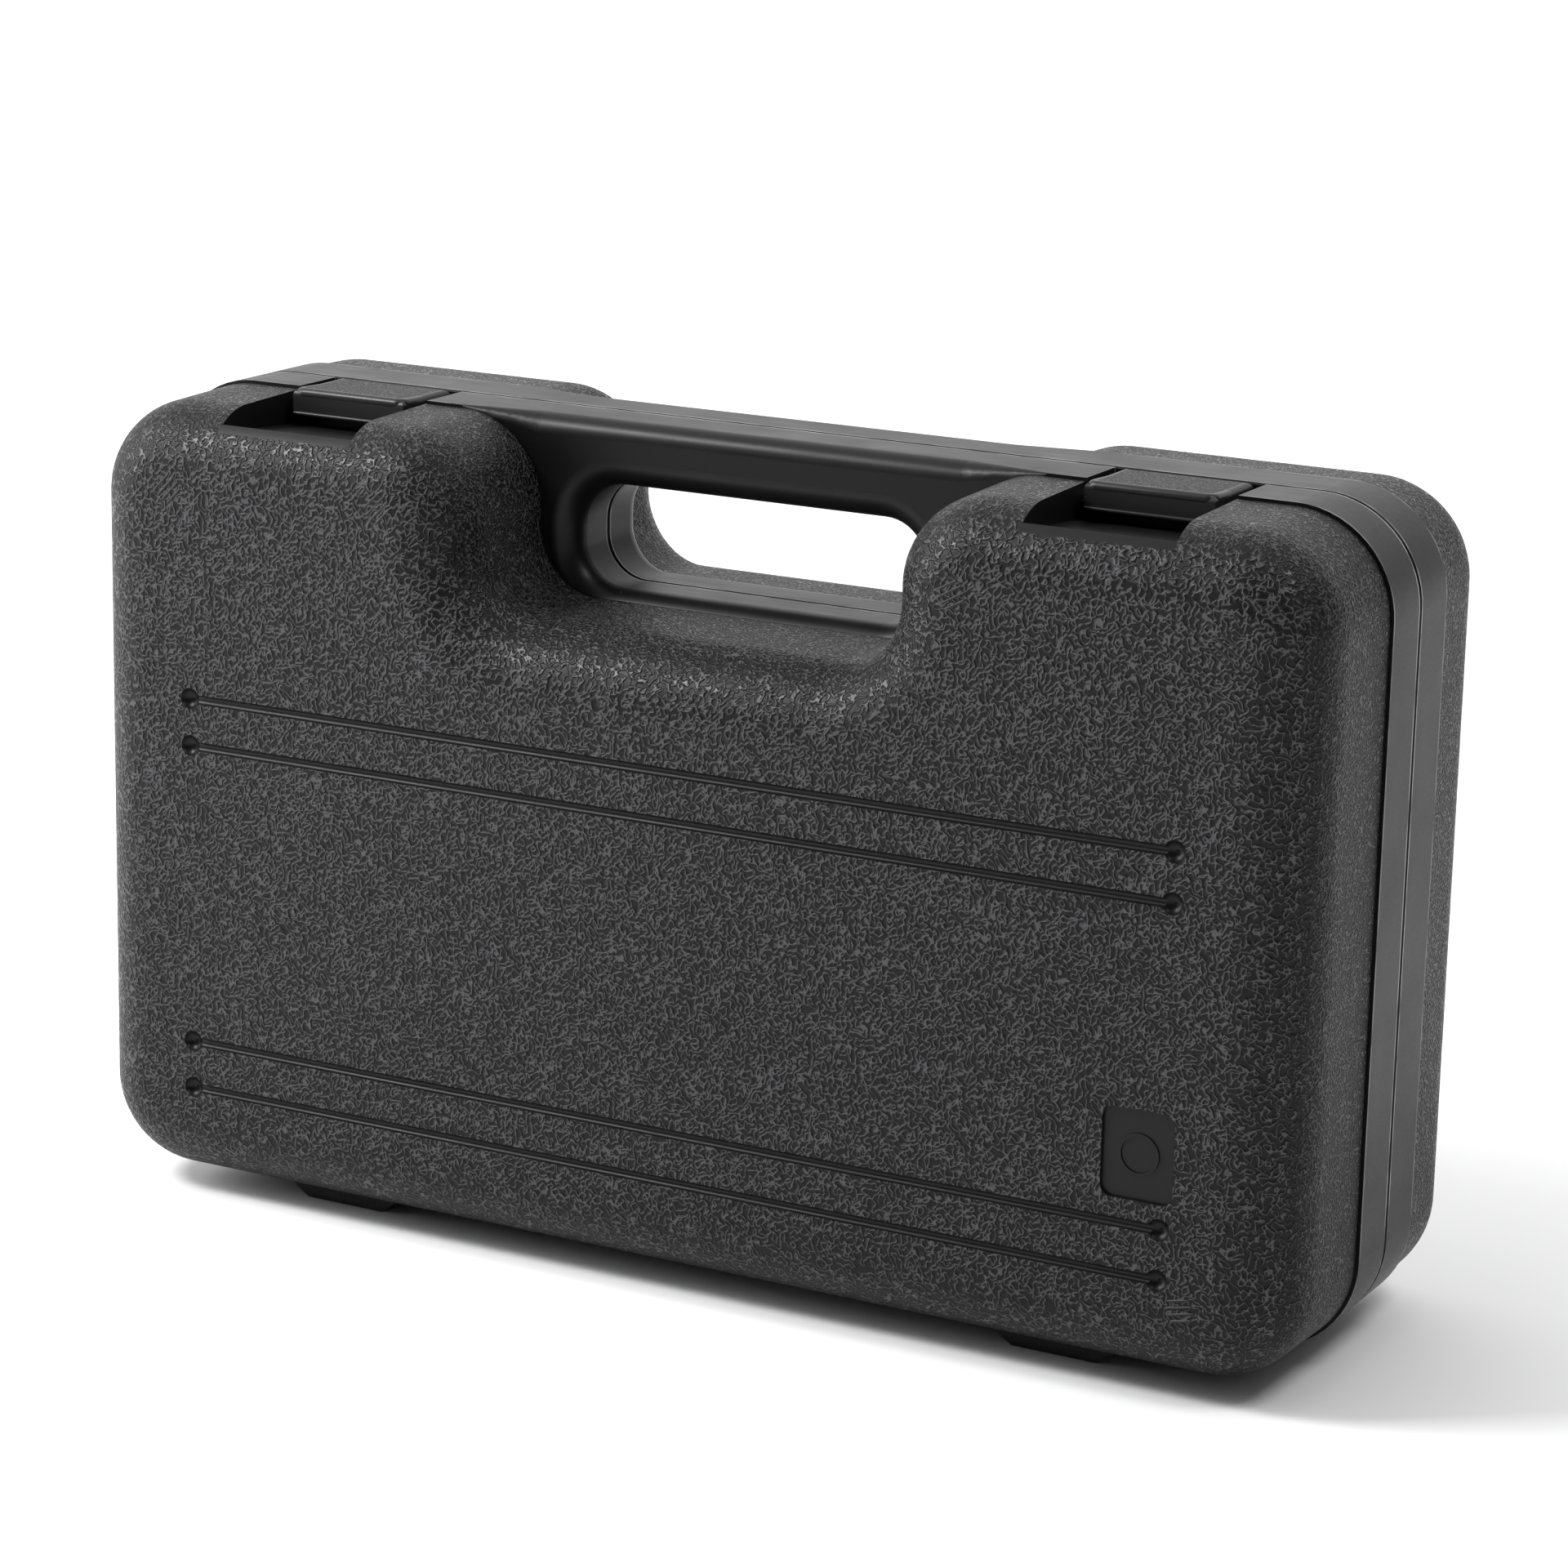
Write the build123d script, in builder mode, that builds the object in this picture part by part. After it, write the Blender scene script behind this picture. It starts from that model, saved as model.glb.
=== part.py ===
"""Hard carrying case for tools: two hinged half shells, rocker latches and a lift-out tray.

Frame: +X to the right, the front face towards -Y, +Z up, the feet standing on Z = 0.
The two halves meet in an upright seam plane and the case opens about a hinge line under it.
"""

import os

from build123d import *

# Whole case, in millimetres
CASE_WIDTH = 360
BODY_HEIGHT = 218
FOOT_HEIGHT = 4
FRONT_DEPTH = 62
BACK_DEPTH = 53
HALF_WIDTH = CASE_WIDTH / 2
BODY_BOTTOM = FOOT_HEIGHT
BODY_TOP = BODY_BOTTOM + BODY_HEIGHT
SEAM_Y = (FRONT_DEPTH - BACK_DEPTH) / 2
SEAM_GAP = 0.3

# Half shells
WALL = 3.0
DRAFT = 1.5
CORNER_RADIUS = 27
FACE_EDGE_RADIUS = 20
BAND_DEPTH = 18
BAND_STEP = 0.8
RIM_WALL = 5.0
RIM_CHAMFER = 0.5

# Carrying handle and the recess around it
RECESS_HALF_WIDTH = 60
RECESS_DEPTH = 46.7
RECESS_FLOOR_RADIUS = 17
HUMP_RADIUS = 25
HOLE_HALF_WIDTH = 51
HOLE_TOP = 17.5
HOLE_BOTTOM = 45.4
HOLE_CORNER = 12
HOLE_EDGE_RADIUS = 7
HANDLE_EDGE_RADIUS = 5
HANDLE_STRAIGHT = 62
HANDLE_FADE = 24

# Line pattern and mark pad on the faces
GROOVE_DROPS = (79.4, 92.4, 175.6, 188.8)
GROOVE_HALF_LENGTH = 144
GROOVE_RADIUS = 1.3
DIMPLE_RADIUS = 3.1
DIMPLE_OUTSET = 1.0
PAD_X = 137.5
PAD_DROP = 157.5
PAD_WIDTH = 19.5
PAD_HEIGHT = 23.5
PAD_CORNER = 3
PAD_RECESS = 1.0
PAD_RING_RADIUS = 5.5
PAD_LINE = 0.8
PAD_RELIEF = 0.4

# Rocker latches and their slots
LATCH_X = 117.5
LATCH_HALF_WIDTH = 17.6
LATCH_FRONT = 25.5
LATCH_BACK = 2.0
LATCH_THICKNESS = 4.0
LATCH_LIP_DROP = 7.0
LATCH_LIP_DEPTH = 4.5
LATCH_RISE = 0.4
PIVOT_SETBACK = 12
PIVOT_DROP = 6.0
HUB_RADIUS = 3.4
LATCH_EDGE_RADIUS = 1.6
HOOK_HALF_WIDTH = 8
HOOK_REACH = 4.5
HOOK_THICKNESS = 2.8
BARB_THICKNESS = 2.0
BARB_DROP = 3.4
LATCH_PIN_RADIUS = 1.5
LATCH_PIN_HALF_LENGTH = 22.6
PIN_RUNNING_GAP = 0.05
SLOT_HALF_WIDTH = 20.4
SLOT_DEPTH = 19
SLOT_WALL = 2.6
FINGER_FRONT = 54
FINGER_FRONT_DROP = 7.4
FINGER_BACK_DROP = 9.9
FINGER_WALL_DROP = 5.5
CATCH_RIB_DEPTH = 2.2
CATCH_POCKET_DEPTH = 8
CATCH_POCKET_HALF_WIDTH = 10
CATCH_SKIN = 2.0

# Hinges under the case
HINGE_X = 108
HINGE_HALF_WIDTH = 20
HINGE_AXIS_Z = 2.8
KNUCKLE_RADIUS = 2.7
KNUCKLE_HALF_WIDTH = 9.7
KNUCKLE_GAP = 0.3
HINGE_PIN_RADIUS = 1.1
LEAF_THICKNESS = 1.5
LEAF_REACH = 15.5
HINGE_POCKET_RADIUS = 3.3

# Feet
FOOT_X = 108
FOOT_SETBACK = 27
FOOT_LENGTH = 14
FOOT_HALF_WIDTH = 12
FOOT_FLARE = 9
FOOT_ROOT = 2.5

# Inner liners
LINER_WALL = 2.4
LINER_EDGE_RADIUS = 9
FRONT_BASIN = {"half_width": 166, "bottom": 14, "top": 158, "depth": 54, "corner": 20}
BACK_BASIN = {"half_width": 171, "bottom": 10, "top": 166, "depth": 45, "corner": 20}
LEDGE_WIDTH = 4
LEDGE_GAP = 0.1

# Lift-out tray
TRAY_DEPTH = 28
TRAY_WALL = 2.0
TRAY_GAP = 1.5
TRAY_SETBACK = 0.5
TRAY_CORNER = 18
TRAY_FLOOR = 2.0
TRAY_EDGE_RADIUS = 1.6
DIVIDER_THICKNESS = 1.8
DIVIDER_X = 56
DIVIDER_DROP = 1.0
GRIP_THICKNESS = 7
GRIP_HOLE_WIDTH = 62
GRIP_HOLE_HEIGHT = 14
GRIP_HOLE_SETBACK = 14
SHELF_OFFSET = 18
TRAY_INSET = LINER_WALL + TRAY_GAP
TRAY_HALF_WIDTH = FRONT_BASIN["half_width"] - TRAY_INSET
TRAY_HEIGHT = FRONT_BASIN["top"] - FRONT_BASIN["bottom"] - 2 * TRAY_INSET
TRAY_MIDDLE = (FRONT_BASIN["top"] + FRONT_BASIN["bottom"]) / 2

SIDES = {"left": -1, "right": 1}


def half_plane(facing):
    """Seam face of one half: its normal points out of the case, its local y is world Z."""
    sign = 1 if facing == "front" else -1
    origin = (0, SEAM_Y - sign * SEAM_GAP / 2, 0)
    return Plane(origin=origin, x_dir=(sign, 0, 0), z_dir=(0, -sign, 0))


def side_plane(facing, x):
    """Cross-section at x: local x is the distance from the seam face, local y is world Z."""
    sign = 1 if facing == "front" else -1
    origin = (x, SEAM_Y - sign * SEAM_GAP / 2, 0)
    return Plane(origin=origin, x_dir=(0, -sign, 0), z_dir=(-sign, 0, 0))


def slab(facing, x, half_width, points):
    """Prism across the case, centred on x, whose cross-section has these corners."""
    with BuildPart() as prism:
        with BuildSketch(side_plane(facing, x)):
            with BuildLine():
                Polyline(*points, close=True)
            make_face()
        extrude(amount=half_width, both=True)
    return prism.part


def block(facing, x, half_width, near, far, bottom, top):
    """Box across the case, from near to far out of the seam face."""
    corners = [(near, bottom), (far, bottom), (far, top), (near, top)]
    return slab(facing, x, half_width, corners)


def rod(facing, x, half_length, distance, height, radius):
    """Round bar along X, at this distance from the seam face and this height."""
    with BuildPart() as bar:
        with BuildSketch(side_plane(facing, x)):
            with Locations((distance, height)):
                Circle(radius)
        extrude(amount=half_length, both=True)
    return bar.part


def notched_outline(inset):
    """Face outline with the handle recess at the top, shrunk all round by inset."""
    half = HALF_WIDTH - inset
    bottom = BODY_BOTTOM + inset
    top = BODY_TOP - inset
    floor = BODY_TOP - RECESS_DEPTH - inset
    notch = RECESS_HALF_WIDTH + inset
    with BuildSketch() as outline:
        with BuildLine():
            Polyline(
                (-half, bottom), (half, bottom), (half, top), (notch, top),
                (notch, floor), (-notch, floor), (-notch, top), (-half, top), close=True,
            )
        make_face()
        upper = outline.vertices().filter_by_position(Axis.Y, top - 1, top + 1)
        fillet([v for v in upper if abs(v.X) < half - 1], HUMP_RADIUS - inset)
        floors = outline.vertices().filter_by_position(Axis.Y, floor - 1, floor + 1)
        fillet(floors, RECESS_FLOOR_RADIUS + inset)
        outer = [v for v in outline.vertices() if abs(v.X) > half - 1]
        fillet(outer, CORNER_RADIUS - inset)
    return outline.sketch


def drafted_body(facing, depth, inset):
    """Rounded, slightly tapering body in front of the band, down to this depth."""
    plane = half_plane(facing)
    with BuildPart() as body:
        with BuildSketch(plane.offset(BAND_DEPTH)):
            add(notched_outline(inset))
        extrude(amount=depth - BAND_DEPTH, taper=DRAFT)
        face = body.faces().sort_by(Axis(plane.origin, plane.z_dir))[-1]
        fillet(face.edges(), FACE_EDGE_RADIUS - inset)
    return body.part


def band(facing):
    """Smooth band along the seam, with the carrying handle above the hand opening."""
    plane = half_plane(facing)
    out = Axis(plane.origin, plane.z_dir)
    hole_middle = BODY_TOP - (HOLE_TOP + HOLE_BOTTOM) / 2
    with BuildPart() as ring:
        with BuildSketch(plane):
            with Locations((0, (BODY_TOP + BODY_BOTTOM) / 2)):
                RectangleRounded(CASE_WIDTH, BODY_HEIGHT, CORNER_RADIUS)
            with Locations((0, hole_middle)):
                RectangleRounded(
                    2 * HOLE_HALF_WIDTH, HOLE_BOTTOM - HOLE_TOP, HOLE_CORNER, mode=Mode.SUBTRACT
                )
        extrude(amount=BAND_DEPTH)
        seam_face = ring.faces().sort_by(out)[0]
        chamfer(seam_face.edges(), RIM_CHAMFER)
        outer_face = ring.faces().sort_by(out)[-1]
        fillet(outer_face.inner_wires()[0].edges(), HOLE_EDGE_RADIUS)
    return ring.part


def handle_edge(facing):
    """What the rounding of the handle's top edge takes away, fading out at both ends."""
    sign = 1 if facing == "front" else -1
    with BuildPart() as rounding:
        for side in (-1, 1):
            stations = [(0, HANDLE_EDGE_RADIUS), (HANDLE_STRAIGHT, HANDLE_EDGE_RADIUS)]
            stations.append((HANDLE_STRAIGHT + HANDLE_FADE, HANDLE_EDGE_RADIUS / 10))
            for (near, near_radius), (far, far_radius) in zip(stations, stations[1:]):
                for x, radius in ((near, near_radius), (far, far_radius)):
                    with BuildSketch(side_plane(facing, side * x)):
                        with Locations((BAND_DEPTH - radius, BODY_TOP - radius)):
                            Rectangle(radius + 1, radius + 1, align=(Align.MIN, Align.MIN))
                            Circle(radius, mode=Mode.SUBTRACT)
                loft(ruled=True)
    return rounding.part


def outer_shell(facing, depth):
    """Outer wall of one half: band, handle and drafted body, hollow from the seam side."""
    front = facing == "front"
    face_plane = half_plane(facing).offset(depth)
    with BuildPart() as cavity:
        with BuildSketch(half_plane(facing)):
            add(notched_outline(RIM_WALL))
        extrude(amount=BAND_DEPTH)
        add(drafted_body(facing, depth - WALL, WALL))
        if front:
            for sign in SIDES.values():
                add(latch_slot(sign * LATCH_X, SLOT_WALL), mode=Mode.SUBTRACT)
    with BuildPart() as shell:
        add(band(facing))
        add(handle_edge(facing), mode=Mode.SUBTRACT)
        add(drafted_body(facing, depth, BAND_STEP))
        add(cavity.part, mode=Mode.SUBTRACT)
        for sign in SIDES.values():
            add(hinge_pocket(facing, sign * HINGE_X), mode=Mode.SUBTRACT)
            if front:
                add(latch_slot(sign * LATCH_X, 0), mode=Mode.SUBTRACT)
                pin_hole = rod(
                    facing, sign * LATCH_X, LATCH_PIN_HALF_LENGTH,
                    PIVOT_SETBACK, BODY_TOP - PIVOT_DROP, LATCH_PIN_RADIUS,
                )
                add(pin_hole, mode=Mode.SUBTRACT)
            else:
                catch_pocket = block(
                    facing, sign * LATCH_X, CATCH_POCKET_HALF_WIDTH, CATCH_RIB_DEPTH,
                    CATCH_POCKET_DEPTH, BODY_TOP - RIM_WALL, BODY_TOP - CATCH_SKIN,
                )
                add(catch_pocket, mode=Mode.SUBTRACT)
        for drop in GROOVE_DROPS:
            groove = rod(
                facing, 0, GROOVE_HALF_LENGTH, depth, BODY_TOP - drop, GROOVE_RADIUS
            )
            add(groove, mode=Mode.SUBTRACT)
            ends = [(sign * GROOVE_HALF_LENGTH, BODY_TOP - drop) for sign in SIDES.values()]
            with Locations(face_plane.offset(DIMPLE_OUTSET)):
                with Locations(*ends):
                    Sphere(DIMPLE_RADIUS, mode=Mode.SUBTRACT)
        if front:
            pad_centre = (PAD_X, BODY_TOP - PAD_DROP)
            with BuildSketch(face_plane):
                with Locations(pad_centre):
                    RectangleRounded(PAD_WIDTH, PAD_HEIGHT, PAD_CORNER)
            extrude(amount=-PAD_RECESS, mode=Mode.SUBTRACT)
            with BuildSketch(face_plane.offset(-PAD_RECESS)):
                with Locations(pad_centre):
                    Circle(PAD_RING_RADIUS)
                    Circle(PAD_RING_RADIUS - PAD_LINE, mode=Mode.SUBTRACT)
            extrude(amount=PAD_RELIEF)
    return shell.part


def latch_slot(x, margin):
    """Slot for a latch and the finger recess before it, grown all round by margin."""
    half = SLOT_HALF_WIDTH + margin
    sky = BODY_TOP + 1
    slot_floor = BODY_TOP - SLOT_DEPTH - margin
    wall_top = BODY_TOP - FINGER_WALL_DROP
    recess_start = BAND_DEPTH + SLOT_WALL - margin
    recess_back = BODY_TOP - FINGER_BACK_DROP - margin
    recess_front = BODY_TOP - FINGER_FRONT_DROP - margin
    with BuildPart() as space:
        add(block("front", x, half, 0, BAND_DEPTH + margin, slot_floor, sky))
        add(block("front", x, half, BAND_DEPTH, BAND_DEPTH + SLOT_WALL, wall_top, sky))
        corners = [(recess_start, recess_back), (FINGER_FRONT, recess_front)]
        corners += [(FINGER_FRONT + 2, sky), (recess_start, sky)]
        add(slab("front", x, half, corners))
    return space.part


def hinge_pocket(facing, x):
    """Space under a half for the hinge barrel and for the leaf, flush with the bottom."""
    axis_distance = -SEAM_GAP / 2
    leaf_top = BODY_BOTTOM + LEAF_THICKNESS
    half = HINGE_HALF_WIDTH + KNUCKLE_GAP
    reach = LEAF_REACH + KNUCKLE_GAP
    with BuildPart() as pocket:
        add(rod(facing, x, half, axis_distance, HINGE_AXIS_Z, HINGE_POCKET_RADIUS))
        add(block(facing, x, half, 0, reach, 0, leaf_top))
    return pocket.part


def bowl(facing, basin, inset, depth):
    """Solid that fills a liner's basin down to this depth, shrunk sideways by inset."""
    plane = half_plane(facing)
    width = 2 * (basin["half_width"] - inset)
    height = basin["top"] - basin["bottom"] - 2 * inset
    with BuildPart() as filling:
        with BuildSketch(plane):
            with Locations((0, (basin["top"] + basin["bottom"]) / 2)):
                RectangleRounded(width, height, basin["corner"] - min(inset, LINER_WALL))
        extrude(amount=depth)
        if depth > basin["depth"] - LINER_WALL - 1:
            floor = filling.faces().sort_by(Axis(plane.origin, plane.z_dir))[-1]
            fillet(floor.edges(), LINER_EDGE_RADIUS - basin["depth"] + depth)
    return filling.part


def liner(facing, basin):
    """Inner wall of one half: a flange at the seam around a basin for the contents."""
    steps = [(basin["depth"], 0)]
    if facing == "front":
        ledge = TRAY_SETBACK + TRAY_DEPTH + LEDGE_GAP + LINER_WALL
        steps = [(ledge, 0), (basin["depth"], LEDGE_WIDTH)]
    with BuildPart() as wall:
        with BuildSketch(half_plane(facing)):
            add(notched_outline(RIM_WALL))
        extrude(amount=LINER_WALL)
        for thickness, mode in ((0, Mode.ADD), (LINER_WALL, Mode.SUBTRACT)):
            for depth, narrowing in steps:
                filling = bowl(facing, basin, thickness + narrowing, depth - thickness)
                add(filling, mode=mode)
        for sign in SIDES.values():
            x = sign * LATCH_X
            if facing == "front":
                add(latch_slot(x, SLOT_WALL), mode=Mode.SUBTRACT)
            else:
                window = block(
                    facing, x, CATCH_POCKET_HALF_WIDTH, 0, LINER_WALL,
                    BODY_TOP - SLOT_DEPTH, BODY_TOP,
                )
                add(window, mode=Mode.SUBTRACT)
    return wall.part


def hinge_leaf(facing, x):
    """Hinge leaf of one half: a plate under the rim with its share of the barrel."""
    front = facing == "front"
    axis_distance = -SEAM_GAP / 2
    bottom = BODY_BOTTOM
    top = BODY_BOTTOM + LEAF_THICKNESS
    if front:
        outer_half = (HINGE_HALF_WIDTH - KNUCKLE_HALF_WIDTH - KNUCKLE_GAP) / 2
        knuckles = [(x + sign * (HINGE_HALF_WIDTH - outer_half), outer_half) for sign in (-1, 1)]
        bore = HINGE_PIN_RADIUS
    else:
        knuckles = [(x, KNUCKLE_HALF_WIDTH)]
        bore = HINGE_PIN_RADIUS + PIN_RUNNING_GAP
    plate_start = HINGE_POCKET_RADIUS
    with BuildPart() as leaf:
        add(block(facing, x, HINGE_HALF_WIDTH, plate_start, LEAF_REACH, bottom, top))
        for knuckle_x, half in knuckles:
            add(block(facing, knuckle_x, half, axis_distance, plate_start, bottom, top))
            add(rod(facing, knuckle_x, half, axis_distance, HINGE_AXIS_Z, KNUCKLE_RADIUS))
        barrel = rod(facing, x, HINGE_HALF_WIDTH, axis_distance, HINGE_AXIS_Z, bore)
        add(barrel, mode=Mode.SUBTRACT)
    return leaf.part


def foot(facing, depth, x):
    """Flared foot under one half, shaped on top to the underside it sits on."""
    centre = depth - FOOT_SETBACK
    plane = half_plane(facing).offset(centre - FOOT_LENGTH / 2)
    flared = FOOT_HALF_WIDTH + FOOT_FLARE
    top = BODY_BOTTOM + FOOT_ROOT
    local_x = x if facing == "front" else -x
    with BuildPart() as pad:
        with BuildSketch(plane):
            with BuildLine():
                Polyline(
                    (local_x - FOOT_HALF_WIDTH, 0), (local_x + FOOT_HALF_WIDTH, 0),
                    (local_x + flared, top), (local_x - flared, top), close=True,
                )
            make_face()
        extrude(amount=FOOT_LENGTH)
        fillet(pad.edges().filter_by(Axis.Y), 1.5)
        add(drafted_body(facing, depth, BAND_STEP), mode=Mode.SUBTRACT)
    return pad.part


def latch(x):
    """Rocker latch: a finger plate with a lip, a hub for its pin and a hook behind it."""
    top = BODY_TOP + LATCH_RISE
    under = top - LATCH_THICKNESS
    pivot = BODY_TOP - PIVOT_DROP
    hook_bottom = pivot - HUB_RADIUS + 0.2
    with BuildPart() as rocker:
        corners = [(LATCH_BACK, top), (LATCH_BACK, under), (LATCH_FRONT - LATCH_LIP_DEPTH, under)]
        lip_bottom = top - LATCH_LIP_DROP
        corners += [(LATCH_FRONT - LATCH_LIP_DEPTH, lip_bottom), (LATCH_FRONT, lip_bottom)]
        corners.append((LATCH_FRONT, top))
        add(slab("front", x, LATCH_HALF_WIDTH, corners))
        fillet(rocker.faces().sort_by(Axis.Z)[-1].edges(), LATCH_EDGE_RADIUS)
        add(rod("front", x, LATCH_HALF_WIDTH - 1, PIVOT_SETBACK, pivot, HUB_RADIUS))
        arm = block(
            "front", x, HOOK_HALF_WIDTH, -HOOK_REACH, PIVOT_SETBACK, hook_bottom,
            hook_bottom + HOOK_THICKNESS,
        )
        add(arm)
        barb = block(
            "front", x, HOOK_HALF_WIDTH, -HOOK_REACH, -HOOK_REACH + BARB_THICKNESS,
            hook_bottom, BODY_TOP - BARB_DROP,
        )
        add(barb)
        bore_radius = LATCH_PIN_RADIUS + PIN_RUNNING_GAP
        bore = rod("front", x, LATCH_HALF_WIDTH + 1, PIVOT_SETBACK, pivot, bore_radius)
        add(bore, mode=Mode.SUBTRACT)
    return rocker.part


def tray():
    """Open tray that lies on the front liner's ledge, level with the seam."""
    plane = half_plane("front").offset(TRAY_SETBACK)
    inner_width = 2 * (TRAY_HALF_WIDTH - TRAY_WALL)
    inner_height = TRAY_HEIGHT - 2 * TRAY_WALL
    with BuildPart() as box:
        with BuildSketch(plane):
            with Locations((0, TRAY_MIDDLE)):
                RectangleRounded(2 * TRAY_HALF_WIDTH, TRAY_HEIGHT, TRAY_CORNER)
        extrude(amount=TRAY_DEPTH)
        floor = box.faces().sort_by(Axis.Y)[0]
        fillet(floor.edges(), TRAY_EDGE_RADIUS)
        with BuildSketch(plane):
            with Locations((0, TRAY_MIDDLE)):
                RectangleRounded(inner_width, inner_height, TRAY_CORNER - TRAY_WALL)
        extrude(amount=TRAY_DEPTH - TRAY_FLOOR, mode=Mode.SUBTRACT)
    return box.part


def tray_wall(x, z, length_x, length_z):
    """Upright wall standing on the tray's floor, up to just under its rim."""
    plane = half_plane("front").offset(TRAY_SETBACK + DIVIDER_DROP)
    with BuildPart() as wall:
        with BuildSketch(plane):
            with Locations((x, z)):
                Rectangle(length_x, length_z)
        extrude(amount=TRAY_DEPTH - TRAY_FLOOR - DIVIDER_DROP)
    return wall.part


def tray_grip():
    """Thick wall across the middle of the tray with a long hole for the fingers."""
    length = 2 * DIVIDER_X - DIVIDER_THICKNESS
    hole_plane = Plane(origin=(0, SEAM_Y - GRIP_HOLE_SETBACK, TRAY_MIDDLE), z_dir=(0, 0, 1))
    with BuildPart() as grip:
        add(tray_wall(0, TRAY_MIDDLE, length, GRIP_THICKNESS))
        with BuildSketch(hole_plane):
            SlotOverall(GRIP_HOLE_WIDTH, GRIP_HOLE_HEIGHT)
        extrude(amount=GRIP_THICKNESS, both=True, mode=Mode.SUBTRACT)
        fillet(grip.edges().filter_by(Axis.X).group_by(Axis.Y)[-1], 2)
    return grip.part


def save(name, solid):
    """Label one finished piece and write its STEP file."""
    solid.label = name
    export_step(solid, f"parts/{name}.step")


os.makedirs("parts", exist_ok=True)

for half_name, half_depth, half_basin in (
    ("front", FRONT_DEPTH, FRONT_BASIN),
    ("back", BACK_DEPTH, BACK_BASIN),
):
    save(f"{half_name}_outer_shell", outer_shell(half_name, half_depth))
    save(f"{half_name}_liner", liner(half_name, half_basin))
    for side_name, sign in SIDES.items():
        save(f"{half_name}_foot_{side_name}", foot(half_name, half_depth, sign * FOOT_X))
        save(f"{half_name}_hinge_leaf_{side_name}", hinge_leaf(half_name, sign * HINGE_X))

for side_name, sign in SIDES.items():
    hinge_pin = rod(
        "front", sign * HINGE_X, HINGE_HALF_WIDTH, -SEAM_GAP / 2, HINGE_AXIS_Z, HINGE_PIN_RADIUS
    )
    save(f"hinge_pin_{side_name}", hinge_pin)
    save(f"latch_{side_name}", latch(sign * LATCH_X))
    latch_pin = rod(
        "front", sign * LATCH_X, LATCH_PIN_HALF_LENGTH, PIVOT_SETBACK,
        BODY_TOP - PIVOT_DROP, LATCH_PIN_RADIUS,
    )
    save(f"latch_pin_{side_name}", latch_pin)

end_half_width = TRAY_HALF_WIDTH - TRAY_WALL
end_width = end_half_width - DIVIDER_X - DIVIDER_THICKNESS / 2
save("tray", tray())
save("tray_grip", tray_grip())
for side_name, sign in SIDES.items():
    divider_height = TRAY_HEIGHT - 2 * TRAY_WALL
    divider = tray_wall(sign * DIVIDER_X, TRAY_MIDDLE, DIVIDER_THICKNESS, divider_height)
    save(f"tray_divider_{side_name}", divider)
    shelf_x = sign * (end_half_width - end_width / 2)
    shelf = tray_wall(shelf_x, TRAY_MIDDLE + sign * SHELF_OFFSET, end_width, DIVIDER_THICKNESS)
    save(f"tray_shelf_{side_name}", shelf)
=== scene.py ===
"""Looks of the hard carrying case: moulded plastic materials, small details, light and camera."""

import math

import bmesh
import bpy
from mathutils import Matrix, Vector
from mathutils.bvhtree import BVHTree


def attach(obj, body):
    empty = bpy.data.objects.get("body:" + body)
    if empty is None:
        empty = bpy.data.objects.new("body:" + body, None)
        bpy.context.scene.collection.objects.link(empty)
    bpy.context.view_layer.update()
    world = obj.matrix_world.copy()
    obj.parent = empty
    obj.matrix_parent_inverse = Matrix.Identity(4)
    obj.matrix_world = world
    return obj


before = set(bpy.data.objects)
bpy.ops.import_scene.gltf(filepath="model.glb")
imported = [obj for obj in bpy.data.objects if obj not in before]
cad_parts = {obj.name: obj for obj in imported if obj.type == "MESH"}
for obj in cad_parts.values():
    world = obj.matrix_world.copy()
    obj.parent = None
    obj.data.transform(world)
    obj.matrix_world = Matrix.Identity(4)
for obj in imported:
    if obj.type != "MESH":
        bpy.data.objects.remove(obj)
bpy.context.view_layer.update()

# Places on the case that the materials need, in metres
MM = 0.001
SEAM_Y = 4.5 * MM
BAND_EDGE = 18.15 * MM
FRONT_FACE = 57.65 * MM
FLAT_HALF_WIDTH = 152 * MM
FLAT_MIDDLE_Z = 90 * MM
FLAT_HALF_HEIGHT = 62 * MM
GROOVE_REACH = 4 * MM
HANDLE_HALF_WIDTH = 90 * MM
LATCH_X = 117.5 * MM
SLOT_HALF_WIDTH = 20.6 * MM
RECESS_START_Y = -16.25 * MM
RECESS_START_Z = 212.1 * MM
RECESS_SLOPE = 2.5 / 33.4

# Average roughness of the smooth moulded skin
SMOOTH_ROUGHNESS = 0.38

# Grain ridges per metre: wide on the large faces, finer round the sides
FACE_GRAIN = 640
SIDE_GRAIN = 850

# Round moulding marks on each half: x and z in millimetres, turn in radians
VENT_RADIUS = 4.2 * MM
VENT_BARS = (-0.62, -0.21, 0.21, 0.62)
VENTS = (
    (-150.6, 199.1, 0.8), (-84.4, 201.0, 0.8), (82.0, 198.2, 0.5),
    (154.4, 193.5, -0.6), (150.5, 26.6, 0.2), (-153.6, 23.4, 0.7),
)

# Rounded rim round a latch's top, measured forwards from the seam, and the ledge below it
RIM_HALF_WIDTH = 16.2 * MM
RIM_BACK = 3.6 * MM
RIM_FRONT = 24.15 * MM
RIM_CORNER = 1.6 * MM
RIM_Z = 221.35 * MM
RIM_FRONT_RADIUS = 1.5 * MM
RIM_BACK_RADIUS = 0.9 * MM
RIM_SETBACK = 0.15 * MM
LEDGE_HALF_WIDTH = 17.3 * MM
LEDGE_Y = -21.05 * MM
LEDGE_Z = 215.95 * MM
LEDGE_RADIUS = 0.55 * MM

# The paper glows a little, by its distance from the footprint, so that it stays white
FOOTPRINT_X = 0.17
FOOTPRINT_Y = 0.05
NEAR_GLOW = 0.06
FAR_GLOW = 0.5

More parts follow.
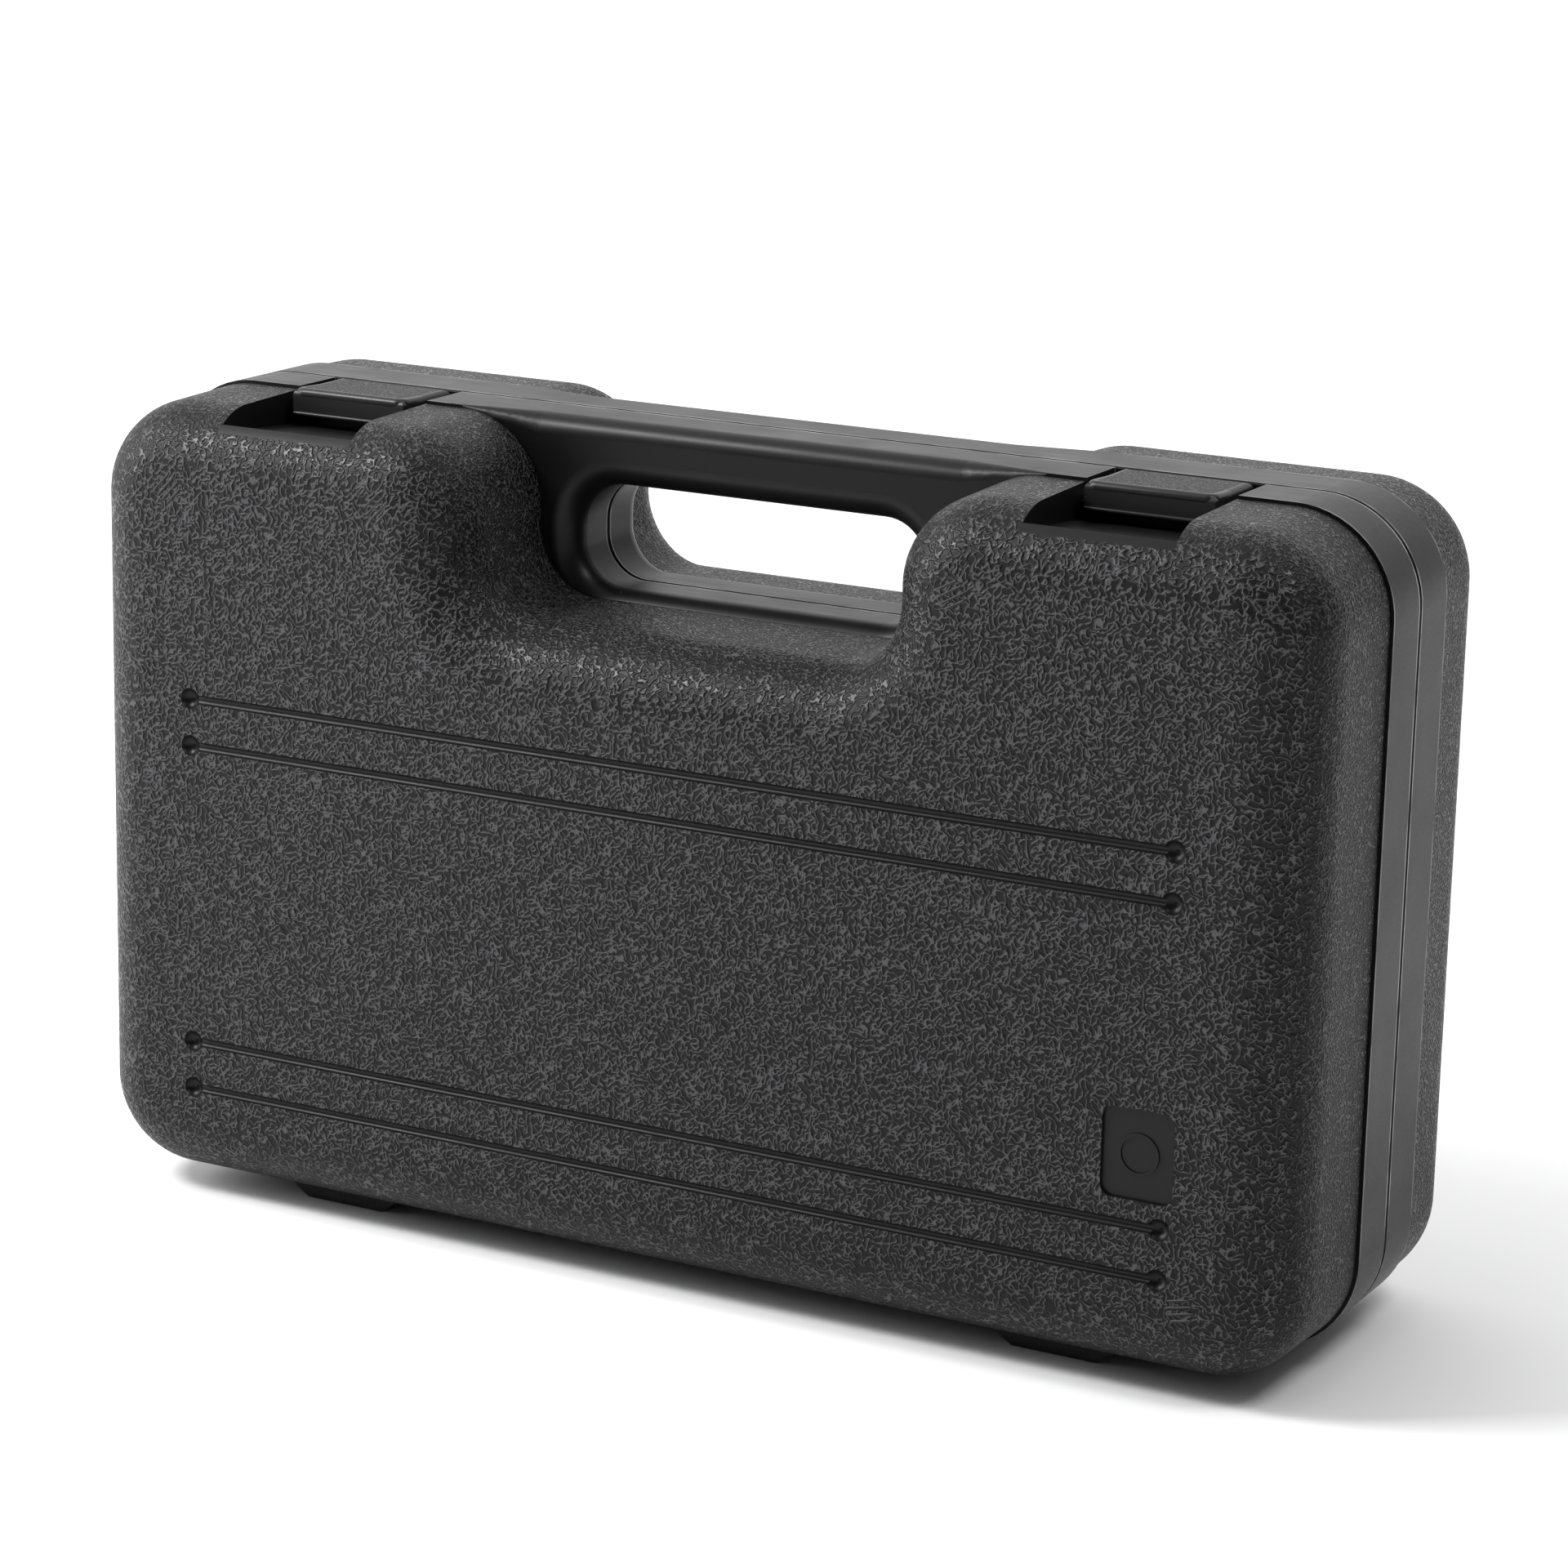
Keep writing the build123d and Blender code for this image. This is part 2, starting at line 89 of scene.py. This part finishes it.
# The sky is bright behind the case and dim in front of it
DIM_SIDE = 0.06
BRIGHT_SIDE = 1.25
BRIGHT_TOWARDS = (-0.50, 0.62, 0.60)
DIM_BELOW = -0.10
BRIGHT_ABOVE = 0.85
WHITE = (1.0, 1.0, 1.0, 1.0)

# The camera stands to the front right, a little above the case
LENS = 107.146
SENSOR = 36.0
CAMERA_PLACE = (0.57039, -1.05674, 0.43443)
HEADING = 28.088
PITCH = -14.364
ROLL = -1.262


# ---------------------------------------------------------------- materials

class Graph:
    """One material's nodes, written as expressions."""

    def __init__(self, name):
        self.material = bpy.data.materials.new(name)
        self.material.use_nodes = True
        self.tree = self.material.node_tree
        self.shader = self.tree.nodes["Principled BSDF"]
        coordinates = self.tree.nodes.new("ShaderNodeTexCoord")
        self.place = coordinates.outputs["Object"]
        self.normal = coordinates.outputs["Normal"]

    def set(self, socket, value):
        """Link a socket to an output, or give it a plain number."""
        if isinstance(value, bpy.types.NodeSocket):
            self.tree.links.new(value, socket)
        else:
            socket.default_value = value

    def node(self, kind, settings=None, **inputs):
        """New node with these settings and inputs; an input name's _ is a space."""
        made = self.tree.nodes.new(kind)
        for key, value in (settings or {}).items():
            setattr(made, key, value)
        for key, value in inputs.items():
            self.set(made.inputs[key.replace("_", " ")], value)
        return made

    def math(self, operation, first, second=0.0, third=0.0):
        made = self.node("ShaderNodeMath", {"operation": operation})
        for socket, value in zip(made.inputs, (first, second, third)):
            self.set(socket, value)
        return made.outputs[0]

    def add(self, first, second):
        return self.math("ADD", first, second)

    def subtract(self, first, second):
        return self.math("SUBTRACT", first, second)

    def multiply(self, *values):
        """Product of two or more values."""
        product = values[0]
        for value in values[1:]:
            product = self.math("MULTIPLY", product, value)
        return product

    def distance(self, first, second):
        """How far apart two values are."""
        return self.math("ABSOLUTE", self.subtract(first, second))

    def above(self, value, limit):
        return self.math("GREATER_THAN", value, limit)

    def below(self, value, limit):
        return self.math("LESS_THAN", value, limit)

    def step(self, value, none, full):
        """0 at none, 1 at full, smooth between; none may be above full."""
        made = self.node(
            "ShaderNodeMapRange", {"interpolation_type": "SMOOTHSTEP"},
            Value=value, From_Min=none, From_Max=full,
        )
        return made.outputs["Result"]

    def between(self, value, rise, full, fall, none):
        """0 up to rise, 1 from full to fall, 0 again from none on."""
        return self.multiply(self.step(value, rise, full), self.step(value, none, fall))

    def axes(self, vector):
        return self.node("ShaderNodeSeparateXYZ", Vector=vector).outputs[:3]

    def noise(self, scale, detail, distortion=0.0, stretch=(1, 1, 1)):
        """Noise with this many features per metre, stretched along the axes."""
        moved = self.node("ShaderNodeMapping", Vector=self.place, Scale=stretch).outputs[0]
        made = self.node(
            "ShaderNodeTexNoise", Vector=moved, Scale=scale, Detail=detail,
            Distortion=distortion,
        )
        return made.outputs["Fac"]

    def mix(self, factor, first, second):
        """Mix of two numbers."""
        made = self.node("ShaderNodeMix", {"data_type": "FLOAT"})
        for socket, value in zip((0, 2, 3), (factor, first, second)):
            self.set(made.inputs[socket], value)
        return made.outputs[0]

    def mix_colour(self, factor, first, second):
        made = self.node("ShaderNodeMix", {"data_type": "RGBA"})
        for socket, value in zip((0, 6, 7), (factor, first, second)):
            self.set(made.inputs[socket], value)
        return made.outputs[2]

    def bump(self, height, distance):
        made = self.node("ShaderNodeBump", Height=height, Distance=distance)
        made.inputs["Strength"].default_value = 1.0
        return made.outputs[0]

    def finish(self, **inputs):
        """Give the shader its inputs, and return the material."""
        for key, value in inputs.items():
            self.set(self.shader.inputs[key.replace("_", " ")], value)
        return self.material


def grey(level, blue=1.06):
    """Near-black plastic colour, a touch cool."""
    return (level, level * 1.005, level * blue, 1.0)


def off_crest(graph, scale):
    """How far a place is from the nearest winding ridge, 0 on its crest."""
    return graph.distance(graph.noise(scale, 0.0, 0.4), 0.5)


def worm_grain(graph, scale):
    """Winding ridges, 1 on their crests, 0 in the valleys between them."""
    return graph.step(off_crest(graph, scale), 0.14, 0.0)


def specks(graph, cells_per_metre, share, radius):
    """Rare dust specks: 1 on a speck."""
    cells = graph.node(
        "ShaderNodeTexVoronoi", Vector=graph.place, Scale=cells_per_metre, Randomness=1.0
    )
    near = graph.step(cells.outputs["Distance"], radius, radius * 0.6)
    colour = graph.node("ShaderNodeSeparateColor", Color=cells.outputs["Color"])
    chosen = graph.above(colour.outputs[0], 1.0 - share)
    return graph.multiply(near, chosen)


def smooth_surface(graph):
    """Height and roughness of a satin skin: slow unevenness, fine streaks along x, scratches."""
    waves = graph.noise(60, 2.0)
    streaks = graph.noise(1600, 2.0, stretch=(0.02, 1.0, 1.0))
    fine = graph.noise(2600, 2.0)
    height = graph.add(graph.multiply(waves, 0.5), graph.multiply(streaks, 0.06))
    height = graph.add(height, graph.multiply(fine, 0.05))
    roughness = graph.add(graph.multiply(streaks, 0.16), graph.multiply(waves, 0.12))
    return height, graph.add(roughness, 0.24)


def grained_places(graph, place, from_seam, sign):
    """1 on the leather grain, 0 on the band, handle, grooves, pad and finger recesses."""
    x, y, z = place
    body = graph.step(from_seam, BAND_EDGE + 0.15 * MM, BAND_EDGE + 0.35 * MM)

    # Grooves, dimples and the pad lie deeper than the flat face
    out = graph.multiply(y, sign)
    on_flat = graph.multiply(
        graph.below(graph.math("ABSOLUTE", x), FLAT_HALF_WIDTH),
        graph.below(graph.distance(z, FLAT_MIDDLE_Z), FLAT_HALF_HEIGHT),
    )
    near_face = graph.above(out, FRONT_FACE - GROOVE_REACH)
    outermost = graph.above(out, FRONT_FACE - 0.06 * MM)
    sunk = graph.multiply(on_flat, near_face, graph.subtract(1.0, outermost))

    # The finger recesses under the latches are in the front half only
    if sign < 0:
        beside = graph.below(graph.distance(graph.math("ABSOLUTE", x), LATCH_X), SLOT_HALF_WIDTH)
        ahead = graph.subtract(RECESS_START_Y, y)
        floor_z = graph.math("MULTIPLY_ADD", ahead, RECESS_SLOPE, RECESS_START_Z - 0.12 * MM)
        recess = graph.multiply(beside, graph.above(z, floor_z))
        sunk = graph.math("MAXIMUM", sunk, recess)
    return graph.multiply(body, graph.subtract(1.0, sunk))


def painted_edge_shade_and_highlights(graph, colour, x, from_seam):
    """Painted shade in the seam and at the band's foot, and pale painted highlight lines along
    their edges.
    """
    # Painted shade: the seam's chamfers and the foot of the band's step are coloured near black
    # where shade falls
    seam_painted_shade = graph.step(from_seam, 0.75 * MM, 0.55 * MM)
    band_foot_painted_shade = graph.between(from_seam, BAND_EDGE - 0.15 * MM, BAND_EDGE, 18.8 * MM, 19.3 * MM)
    colour = graph.mix_colour(graph.math("MAXIMUM", seam_painted_shade, band_foot_painted_shade), colour, grey(0.002))

    # Painted highlight: thin pale lines where the seam's edge and the band's rim catch the light,
    # broken up by noise
    seam_edge = graph.between(from_seam, 0.75 * MM, 0.85 * MM, 1.1 * MM, 1.35 * MM)
    band_rim = graph.between(from_seam, 17.3 * MM, 17.6 * MM, 17.9 * MM, 18.1 * MM)
    beside_handle = graph.above(graph.math("ABSOLUTE", x), HANDLE_HALF_WIDTH)
    band_rim = graph.multiply(band_rim, beside_handle, 0.5)
    edge_painted_highlight = graph.math("MAXIMUM", seam_edge, band_rim)
    edge_painted_highlight = graph.multiply(edge_painted_highlight, graph.step(graph.noise(90, 3.0), 0.30, 0.60))
    return graph.mix_colour(edge_painted_highlight, colour, grey(0.32))


def shell_material(name, sign):
    """Leather-grained body with smooth band, recesses, grooves and pad. sign is -1 at the front."""
    graph = Graph(name)
    x, y, z = graph.axes(graph.place)
    from_seam = graph.distance(y, SEAM_Y)
    grained = grained_places(graph, (x, y, z), from_seam, sign)

    facing = graph.math("ABSOLUTE", graph.axes(graph.normal)[1])
    from_crest = graph.mix(
        graph.step(facing, 0.35, 0.75), off_crest(graph, SIDE_GRAIN), off_crest(graph, FACE_GRAIN)
    )
    crest = graph.step(from_crest, 0.07, 0.01)
    lumps = graph.noise(150, 1.0)
    grain_height = graph.add(graph.step(from_crest, 0.20, 0.0), graph.multiply(lumps, 0.5))
    smooth_height, smooth_roughness = smooth_surface(graph)
    height = graph.mix(grained, graph.multiply(smooth_height, 0.30), grain_height)

    patches = graph.multiply(graph.subtract(graph.noise(14, 3.0), 0.5), 0.12)
    roughness = graph.mix(grained, smooth_roughness, graph.mix(crest, 0.46, 0.30))

    # Painted highlight: the grain's crests are coloured lighter than its valleys, in place of
    # glints on the ridges
    colour = graph.mix_colour(crest, grey(0.003), grey(0.062))
    colour = graph.mix_colour(grained, grey(0.006), colour)
    colour = painted_edge_shade_and_highlights(graph, colour, x, from_seam)
    dust = graph.multiply(specks(graph, 130, 0.035, 0.045), 0.7)
    colour = graph.mix_colour(dust, colour, (0.16, 0.13, 0.11, 1.0))
    return graph.finish(
        Base_Color=colour, Roughness=graph.add(roughness, patches),
        Normal=graph.bump(height, 0.28 * MM), Specular_IOR_Level=0.20,
    )


def plastic(name, level, roughness, grain_scale=0, grain_depth=0.0):
    """Plain moulded plastic: satin with streaks, and a fine even grain if asked for."""
    graph = Graph(name)
    height, rough = smooth_surface(graph)
    if grain_depth:
        grain = worm_grain(graph, grain_scale)
        height = graph.add(height, graph.multiply(grain, grain_depth))
    shade = graph.noise(35, 3.0)
    colour = graph.mix_colour(shade, grey(level * 0.8), grey(level * 1.25))
    dust = graph.multiply(specks(graph, 160, 0.03, 0.04), 0.6)
    colour = graph.mix_colour(dust, colour, (0.15, 0.13, 0.11, 1.0))
    return graph.finish(
        Base_Color=colour, Roughness=graph.add(rough, roughness - SMOOTH_ROUGHNESS),
        Normal=graph.bump(height, 0.12 * MM), Specular_IOR_Level=0.28,
    )


def latch_material():
    """Fine grain on the latch's top panel, smooth on its rim, lip and underside."""
    graph = Graph("latch_skin")
    x, y, z = graph.axes(graph.place)
    aside = graph.distance(graph.math("ABSOLUTE", x), LATCH_X)
    panel = graph.multiply(
        graph.step(aside, 15.8 * MM, 15.3 * MM), graph.step(y, -18.6 * MM, -18.1 * MM),
        graph.step(z, 221.5 * MM, 222.0 * MM),
    )
    grain = worm_grain(graph, 1300)
    height, rough = smooth_surface(graph)
    height = graph.mix(panel, graph.multiply(height, 0.25), grain)
    rough = graph.mix(panel, rough, graph.mix(grain, 0.62, 0.42))
    grain_colour = graph.mix_colour(grain, grey(0.012), grey(0.03))
    colour = graph.mix_colour(panel, grey(0.012), grain_colour)
    return graph.finish(
        Base_Color=colour, Roughness=rough, Normal=graph.bump(height, 0.12 * MM),
        Specular_IOR_Level=0.28,
    )


def steel_material():
    """Drawn wire with fine rings along its length."""
    graph = Graph("drawn_wire")
    rings = graph.noise(5000, 2.0, stretch=(1.0, 0.05, 0.05))
    stain = graph.noise(300, 3.0)
    colour = graph.mix_colour(stain, (0.42, 0.41, 0.40, 1.0), (0.62, 0.62, 0.61, 1.0))
    rough = graph.add(graph.multiply(rings, 0.2), 0.18)
    return graph.finish(
        Base_Color=colour, Roughness=rough, Metallic=1.0, Normal=graph.bump(rings, 0.01 * MM)
    )


# Each material goes to the nodes whose names hold its key; the first that fits counts
MATERIALS = {
    "front_outer_shell": shell_material("front_shell_skin", -1.0),
    "back_outer_shell": shell_material("back_shell_skin", 1.0),
    "pin": steel_material(),
    "foot": plastic("foot_rubber_skin", 0.014, 0.62, 1300, 0.5),
    "leaf": plastic("hinge_skin", 0.018, 0.40),
    "liner": plastic("liner_skin", 0.022, 0.42, 900, 0.35),
    "latch": latch_material(),
    "tray": plastic("tray_skin", 0.04, 0.45, 1100, 0.55),
}
DETAIL_MATERIAL = plastic("detail_skin", 0.014, 0.34)

for node_name, node_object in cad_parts.items():
    fitting = [material for key, material in MATERIALS.items() if key in node_name]
    node_object.data.materials.clear()
    node_object.data.materials.append((fitting + [DETAIL_MATERIAL])[0])


# ---------------------------------------------------------------- small details

def rounded_bar(mesh, start, end, up, width, height):
    """Low bar with a rounded top and rounded ends, standing on a surface."""
    along = (end - start).normalized()
    across = along.cross(up).normalized()
    profile = [(math.cos(math.pi * i / 8), math.sin(math.pi * i / 8)) for i in range(9)]
    length = (end - start).length
    rings = []
    for at in (0.0, 0.04, 0.12, 0.5, 0.88, 0.96, 1.0):
        edge = min(1.0, min(at, 1.0 - at) * length / width)
        swell = min(1.0, math.sqrt(1.0 - (1.0 - edge) ** 2) + 0.05)
        centre = start + along * (at * length)
        rings.append([
            mesh.verts.new(
                centre + across * (c * width / 2 * swell) + up * (s * height * swell - 0.1 * MM)
            )
            for c, s in profile
        ])
    for ring, following in zip(rings, rings[1:]):
        for i in range(len(profile) - 1):
            mesh.faces.new((ring[i], ring[i + 1], following[i + 1], following[i]))
    mesh.faces.new(rings[0])
    mesh.faces.new(list(reversed(rings[-1])))


def vent_mark(name, tree, body, x, z, turn, sign):
    """Round moulding mark: four parallel bars that fill a circle, on a shell's search tree."""
    place, up, _, _ = tree.ray_cast(Vector((x, sign * 0.3, z)), Vector((0, -sign, 0)))
    if up.y * sign < 0:
        up = -up
    side = Vector((1, 0, 0)).cross(up).cross(up).normalized()
    side = Matrix.Rotation(turn, 3, up) @ side
    other = up.cross(side)
    mesh = bmesh.new()
    for row in VENT_BARS:
        half = VENT_RADIUS * math.sqrt(1.0 - row * row) * 0.96
        middle = place + other * (row * VENT_RADIUS)
        start, end = (tree.find_nearest(middle + side * (way * half))[0] for way in (-1, 1))
        rounded_bar(mesh, start, end, up, 0.7 * MM, 0.32 * MM)
    data = bpy.data.meshes.new(name)
    mesh.to_mesh(data)
    mesh.free()
    for face in data.polygons:
        face.use_smooth = True
    ride_piece(name, data, body)


def ride_piece(name, data, body):
    """Turn a mesh or curve into a piece of smooth plastic that rides on a body."""
    piece = bpy.data.objects.new(name, data)
    bpy.context.scene.collection.objects.link(piece)
    data.materials.append(DETAIL_MATERIAL)
    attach(piece, body)


def tube(name, points, body):
    """Rounded moulded edge: a round bar through points of (place, radius)."""
    curve = bpy.data.curves.new(name, "CURVE")
    curve.dimensions = "3D"
    curve.bevel_depth = 1.0
    curve.bevel_resolution = 5
    curve.use_fill_caps = True
    spline = curve.splines.new("POLY")
    spline.points.add(len(points) - 1)
    for point, (place, radius) in zip(spline.points, points):
        point.co = (*place, 1.0)
        point.radius = radius
    ride_piece(name, curve, body)


def rim_points(x):
    """U-shaped path round a latch's top: forwards along one side, across the front and back."""
    path = []
    for i in range(7):
        path.append((x - RIM_HALF_WIDTH, RIM_BACK + (RIM_FRONT - RIM_CORNER - RIM_BACK) * i / 6))
    for i in range(1, 9):
        angle = math.pi / 2 * i / 8
        inwards = RIM_CORNER * (1 - math.cos(angle))
        path.append((
            x - RIM_HALF_WIDTH + inwards, RIM_FRONT - RIM_CORNER + RIM_CORNER * math.sin(angle)
        ))
    path += [(2 * x - across, ahead) for across, ahead in reversed(path)]
    points = []
    for across, ahead in path:
        share = min(1.0, (ahead - RIM_BACK) / (RIM_FRONT - RIM_BACK))
        radius = RIM_BACK_RADIUS + (RIM_FRONT_RADIUS - RIM_BACK_RADIUS) * share
        place = (across, SEAM_Y - RIM_SETBACK - ahead, RIM_Z - 0.7 * (RIM_FRONT_RADIUS - radius))
        points.append((place, radius))
    return points


def ledge_points(x):
    """Straight path along the bottom of a latch's front."""
    return [
        ((x + (i / 6 - 1) * LEDGE_HALF_WIDTH, LEDGE_Y, LEDGE_Z), LEDGE_RADIUS) for i in range(13)
    ]


shells = {
    shell: BVHTree.FromObject(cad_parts[shell], bpy.context.evaluated_depsgraph_get())
    for shell in ("front_outer_shell", "back_outer_shell")
}
for number, (vent_x, vent_z, vent_turn) in enumerate(VENTS, 1):
    for half, body_name, sign in (("front", "base", -1), ("back", "lid", 1)):
        vent_mark(
            f"{half}_vent_mark_{number}", shells[f"{half}_outer_shell"], body_name,
            vent_x * MM, vent_z * MM, vent_turn, sign,
        )

for side, latch_x in (("left", -LATCH_X), ("right", LATCH_X)):
    tube(f"latch_rim_{side}", rim_points(latch_x), f"{side}_latch")
    tube(f"latch_ledge_{side}", ledge_points(latch_x), f"{side}_latch")


# ---------------------------------------------------------------- floor, light and camera

def paper_material():
    """White paper that glows faintly, more so far from the case."""
    graph = Graph("white_paper")
    x, y, _ = graph.axes(graph.place)
    beside_x = graph.math("MAXIMUM", graph.subtract(graph.math("ABSOLUTE", x), FOOTPRINT_X), 0.0)
    beside_y = graph.math("MAXIMUM", graph.subtract(graph.math("ABSOLUTE", y), FOOTPRINT_Y), 0.0)
    squares = graph.add(graph.multiply(beside_x, beside_x), graph.multiply(beside_y, beside_y))
    away = graph.math("SQRT", squares)
    near = graph.multiply(graph.step(away, 0.0, 0.11), NEAR_GLOW)
    far = graph.multiply(graph.step(away, 0.4, 1.2), FAR_GLOW)
    return graph.finish(
        Base_Color=(0.88, 0.88, 0.885, 1.0), Roughness=0.9,
        Emission_Color=WHITE, Emission_Strength=graph.add(near, far),
    )


def softbox(name, place, aim, width, height, power):
    """Rectangular area light at place, turned towards aim."""
    light = bpy.data.lights.new(name, "AREA")
    light.shape = "RECTANGLE"
    light.size = width
    light.size_y = height
    light.energy = power
    lamp = bpy.data.objects.new(name, light)
    bpy.context.scene.collection.objects.link(lamp)
    lamp.location = place
    direction = Vector(aim) - Vector(place)
    lamp.rotation_euler = direction.to_track_quat("-Z", "Y").to_euler()


floor_mesh = bmesh.new()
bmesh.ops.create_grid(floor_mesh, x_segments=8, y_segments=8, size=30)
floor_data = bpy.data.meshes.new("floor")
floor_mesh.to_mesh(floor_data)
floor_mesh.free()
floor_data.materials.append(paper_material())
floor = bpy.data.objects.new("floor", floor_data)
bpy.context.scene.collection.objects.link(floor)

world = bpy.data.worlds.new("studio")
bpy.context.scene.world = world
world.use_nodes = True
sky = world.node_tree
background = sky.nodes["Background"]
background.inputs["Color"].default_value = WHITE
towards = sky.nodes.new("ShaderNodeVectorMath")
towards.operation = "DOT_PRODUCT"
towards.inputs[1].default_value = BRIGHT_TOWARDS
sky.links.new(sky.nodes.new("ShaderNodeTexCoord").outputs["Generated"], towards.inputs[0])
brightness = sky.nodes.new("ShaderNodeMapRange")
brightness.interpolation_type = "SMOOTHSTEP"
brightness.inputs["From Min"].default_value = DIM_BELOW
brightness.inputs["From Max"].default_value = BRIGHT_ABOVE
brightness.inputs["To Min"].default_value = DIM_SIDE
brightness.inputs["To Max"].default_value = BRIGHT_SIDE
sky.links.new(towards.outputs["Value"], brightness.inputs["Value"])
sky.links.new(brightness.outputs["Result"], background.inputs["Strength"])

softbox("right_overhead", (0.78, -0.18, 1.2), (0.1, 0, 0.15), 0.35, 0.35, 6)
softbox("left_overhead", (-0.55, -0.45, 0.80), (-0.05, 0, 0.1), 0.26, 0.26, 8.5)
softbox("left", (-1.15, -0.45, 0.5), (-0.1, 0, 0.1), 0.3, 0.6, 9)

turned = (
    Matrix.Rotation(math.radians(HEADING), 3, "Z")
    @ Matrix.Rotation(math.radians(PITCH), 3, "X")
    @ Matrix.Rotation(math.radians(ROLL), 3, "Y")
)
right, ahead, above = (turned.col[i] for i in range(3))
camera_data = bpy.data.cameras.new("camera")
camera_data.lens = LENS
camera_data.sensor_width = SENSOR
camera = bpy.data.objects.new("camera", camera_data)
bpy.context.scene.collection.objects.link(camera)
orientation = Matrix((right, above, -ahead)).transposed().to_4x4()
camera.matrix_world = Matrix.Translation(CAMERA_PLACE) @ orientation
bpy.context.scene.camera = camera
bpy.context.scene.view_settings.view_transform = "Standard"
